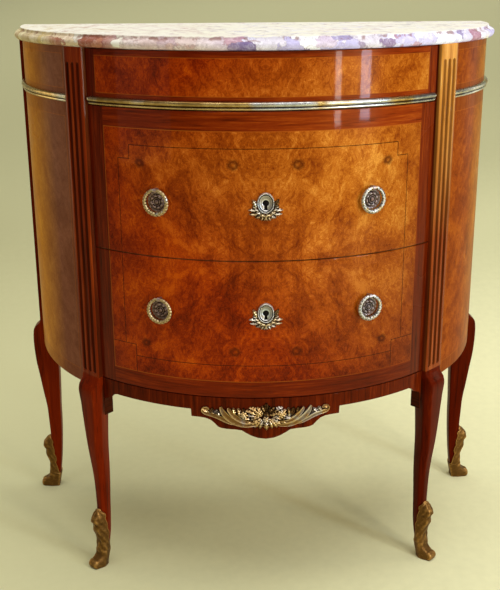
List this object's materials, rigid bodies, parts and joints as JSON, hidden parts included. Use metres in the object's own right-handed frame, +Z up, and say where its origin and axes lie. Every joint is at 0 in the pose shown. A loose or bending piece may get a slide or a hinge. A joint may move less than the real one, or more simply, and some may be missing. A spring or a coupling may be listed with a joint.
{
  "type": "demi-lune commode chest",
  "caption": "Half-round commode chest with a moulded marble top, bow-fronted drawers with ring handles, fluted canted stiles and cabriole legs in gilt shoes.",
  "frame": {"origin": "centre of the bounding box on the floor, halfway between the flat back and the bowed front", "axes": "+Z up, the bowed front faces -Y, the flat back faces +Y, +X to the right seen from the front"},
  "size_m": [0.837, 0.4019, 0.87],
  "materials": {
    "veneer": "burr and straight-grained veneer under a glossy french polish",
    "mahogany": "polished dark red solid wood",
    "oak": "plain sawn inner wood, unpolished",
    "marble": "polished breccia marble",
    "gilt_brass": "cast and gilt, aged",
    "lock_brass": "dull",
    "steel": "worn"
  },
  "bodies": {
    "case": {"marble_top": "marble", "top_board": "oak", "front_left_stile": "mahogany", "front_right_stile": "mahogany", "rear_left_stile": "mahogany", "rear_right_stile": "mahogany", "left_side_panel": "veneer", "right_side_panel": "veneer", "back_frame": "oak", "back_boards": "oak", "bottom_board": "oak", "lower_dust_board": "oak", "upper_dust_board": "oak", "drawer_guides": "oak", "drawer_stops": "oak", "glue_blocks": "oak", "apron": "veneer", "apron_mount": "gilt_brass", "left_side_moulding": "gilt_brass", "right_side_moulding": "gilt_brass", "front_left_sabot": "gilt_brass", "front_right_sabot": "gilt_brass", "rear_left_sabot": "gilt_brass", "rear_right_sabot": "gilt_brass", "lock_keepers": "lock_brass"},
    "frieze_drawer": {"frieze_drawer_front": "veneer", "frieze_drawer_left_side": "oak", "frieze_drawer_right_side": "oak", "frieze_drawer_back": "oak", "frieze_drawer_bottom": "oak", "frieze_moulding": "gilt_brass"},
    "upper_drawer": {"upper_drawer_front": "veneer", "upper_drawer_left_side": "oak", "upper_drawer_right_side": "oak", "upper_drawer_back": "oak", "upper_drawer_bottom": "oak", "upper_lock_case": "lock_brass", "upper_escutcheon": "gilt_brass", "upper_handle_nuts": "steel", "upper_left_handle_plate": "gilt_brass", "upper_right_handle_plate": "gilt_brass"},
    "lower_drawer": {"lower_drawer_front": "veneer", "lower_drawer_left_side": "oak", "lower_drawer_right_side": "oak", "lower_drawer_back": "oak", "lower_drawer_bottom": "oak", "lower_lock_case": "lock_brass", "lower_escutcheon": "gilt_brass", "lower_handle_nuts": "steel", "lower_left_handle_plate": "gilt_brass", "lower_right_handle_plate": "gilt_brass"},
    "upper_bolt": {"upper_lock_bolt": "steel"},
    "upper_left_ring": {"upper_left_ring": "gilt_brass"},
    "upper_right_ring": {"upper_right_ring": "gilt_brass"},
    "lower_bolt": {"lower_lock_bolt": "steel"},
    "lower_left_ring": {"lower_left_ring": "gilt_brass"},
    "lower_right_ring": {"lower_right_ring": "gilt_brass"}
  },
  "joints": [
    {"name": "frieze_drawer_slide", "type": "slide", "parent": "case", "child": "frieze_drawer", "axis": [0, -1, 0], "range_m": [0, 0.22]},
    {"name": "upper_drawer_slide", "type": "slide", "parent": "case", "child": "upper_drawer", "axis": [0, -1, 0], "range_m": [0, 0.22]},
    {"name": "lower_drawer_slide", "type": "slide", "parent": "case", "child": "lower_drawer", "axis": [0, -1, 0], "range_m": [0, 0.22]},
    {"name": "upper_bolt_slide", "type": "slide", "parent": "upper_drawer", "child": "upper_bolt", "axis": [0, 0, 1], "range_m": [0, 0.008]},
    {"name": "upper_left_ring_hinge", "type": "hinge", "parent": "upper_drawer", "child": "upper_left_ring", "pos_m": [-0.15556, -0.16371, 0.6573], "axis": [-0.9198, 0.3923, 0], "range_deg": [0, 150]},
    {"name": "upper_right_ring_hinge", "type": "hinge", "parent": "upper_drawer", "child": "upper_right_ring", "pos_m": [0.15556, -0.16371, 0.6573], "axis": [-0.9198, -0.3923, 0], "range_deg": [0, 150]},
    {"name": "lower_bolt_slide", "type": "slide", "parent": "lower_drawer", "child": "lower_bolt", "axis": [0, 0, 1], "range_m": [0, 0.008]},
    {"name": "lower_left_ring_hinge", "type": "hinge", "parent": "lower_drawer", "child": "lower_left_ring", "pos_m": [-0.15556, -0.16371, 0.4943], "axis": [-0.9198, 0.3923, 0], "range_deg": [0, 150]},
    {"name": "lower_right_ring_hinge", "type": "hinge", "parent": "lower_drawer", "child": "lower_right_ring", "pos_m": [0.15556, -0.16371, 0.4943], "axis": [-0.9198, -0.3923, 0], "range_deg": [0, 150]}
  ]
}
